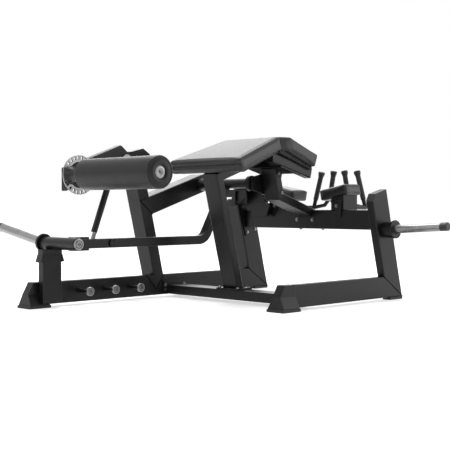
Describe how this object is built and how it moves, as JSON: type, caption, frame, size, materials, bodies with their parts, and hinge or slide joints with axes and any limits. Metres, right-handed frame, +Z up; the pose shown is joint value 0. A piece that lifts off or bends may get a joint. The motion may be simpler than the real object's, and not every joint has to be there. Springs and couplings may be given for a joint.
{
  "type": "lying leg curl machine",
  "caption": "Plate-loaded lying leg curl machine: a roller arm curls up and a rod lifts a long weight lever, beside hip, chest and elbow pads with hand grips",
  "frame": {"origin": "on the floor, under the middle of the machine's bounding box", "axes": "+X toward the head end with the hand grips, +Y toward the side with the weight lever, +Z up"},
  "size_m": [2.006, 1.944, 0.9279],
  "materials": {
    "frame_paint": "satin black powder coat",
    "vinyl": "black grained upholstery vinyl",
    "board": "matte black pad board",
    "foam": "smooth black roller cover",
    "rubber": "matte black moulded rubber",
    "plastic": "matte black moulded plastic",
    "chrome": "satin bright steel horn",
    "steel": "turned steel",
    "silver_cap": "satin silver, turned rings",
    "bolt_steel": "zinc plated"
  },
  "bodies": {
    "frame": {"near_rail": "frame_paint", "near_upright": "frame_paint", "rail_feet": "frame_paint", "peg_rail": "frame_paint", "rear_left_rail": "frame_paint", "rear_left_upright": "frame_paint", "cross_rail": "frame_paint", "shoes": "rubber", "rear_foot_pads": "rubber", "knee_upright": "frame_paint", "inclined_beam": "frame_paint", "knee_post": "frame_paint", "knee_head": "frame_paint", "knee_bearing": "frame_paint", "knee_shaft": "steel", "stop_post": "frame_paint", "stop_cap": "rubber", "storage_pegs": "frame_paint", "peg_caps": "silver_cap", "centre_upright": "frame_paint", "base_plate": "frame_paint", "pad_support_tube": "frame_paint", "pad_post": "frame_paint", "pad_brace": "frame_paint", "upper_beam": "frame_paint", "beam_flanges": "frame_paint", "hip_board": "board", "hip_pad": "vinyl", "chest_rails": "frame_paint", "chest_board": "board", "chest_pad": "vinyl", "elbow_brackets": "frame_paint", "near_elbow_pad": "vinyl", "far_elbow_pad": "vinyl", "side_rest_bracket": "frame_paint", "side_rest_pad": "vinyl", "handle_tubes": "frame_paint", "hand_grips": "rubber", "storage_sleeve": "frame_paint", "storage_horn": "chrome", "storage_horn_cap": "plastic", "frame_bolts": "bolt_steel", "lever_shaft": "steel", "lever_bearing": "frame_paint"},
    "arm": {"roller_arm": "frame_paint", "selector_disc": "silver_cap"},
    "crank": {"roller_crank": "frame_paint", "roller_spindle": "frame_paint", "roller_cap": "silver_cap"},
    "roller": {"roller_core": "plastic", "roller_foam": "foam"},
    "pin": {"pull_pin": "steel"},
    "lever": {"lever_bar": "frame_paint", "lever_upright": "frame_paint", "lever_end": "frame_paint", "lever_sleeve": "frame_paint", "sleeve_cap": "silver_cap", "loading_horn": "chrome"},
    "link": {"link_rod": "frame_paint", "link_rod_ends": "steel"}
  },
  "joints": [
    {"name": "knee_joint", "type": "hinge", "parent": "frame", "child": "arm", "pos_m": [-0.432, 0.409, 0.795], "axis": [0, 1, 0], "range_deg": [0, 105]},
    {"name": "crank_adjust", "type": "hinge", "parent": "arm", "child": "crank", "pos_m": [-0.772, 0.339, 0.704], "axis": [0, 1, 0], "range_deg": [-60, 60]},
    {"name": "roller_spin", "type": "hinge", "parent": "crank", "child": "roller", "pos_m": [-0.841, -0.085, 0.7], "axis": [0, 1, 0], "continuous": true},
    {"name": "pin_pull", "type": "slide", "parent": "crank", "child": "pin", "axis": [0, -1, 0], "range_m": [-0.008, 0.004]},
    {"name": "lever_joint", "type": "hinge", "parent": "frame", "child": "lever", "pos_m": [0.258, 0.287, 0.672], "axis": [0, 1, 0], "range_deg": [0, 17.4]},
    {"name": "link_joint", "type": "hinge", "parent": "lever", "child": "link", "pos_m": [-0.712, 0.335, 0.345], "axis": [0, 1, 0], "range_deg": [0, 9.5]}
  ],
  "couplings": [
    {"joint": "lever_joint", "follows": "knee_joint", "ratio": 0.1649},
    {"joint": "link_joint", "follows": "knee_joint", "ratio": 0.0896}
  ]
}
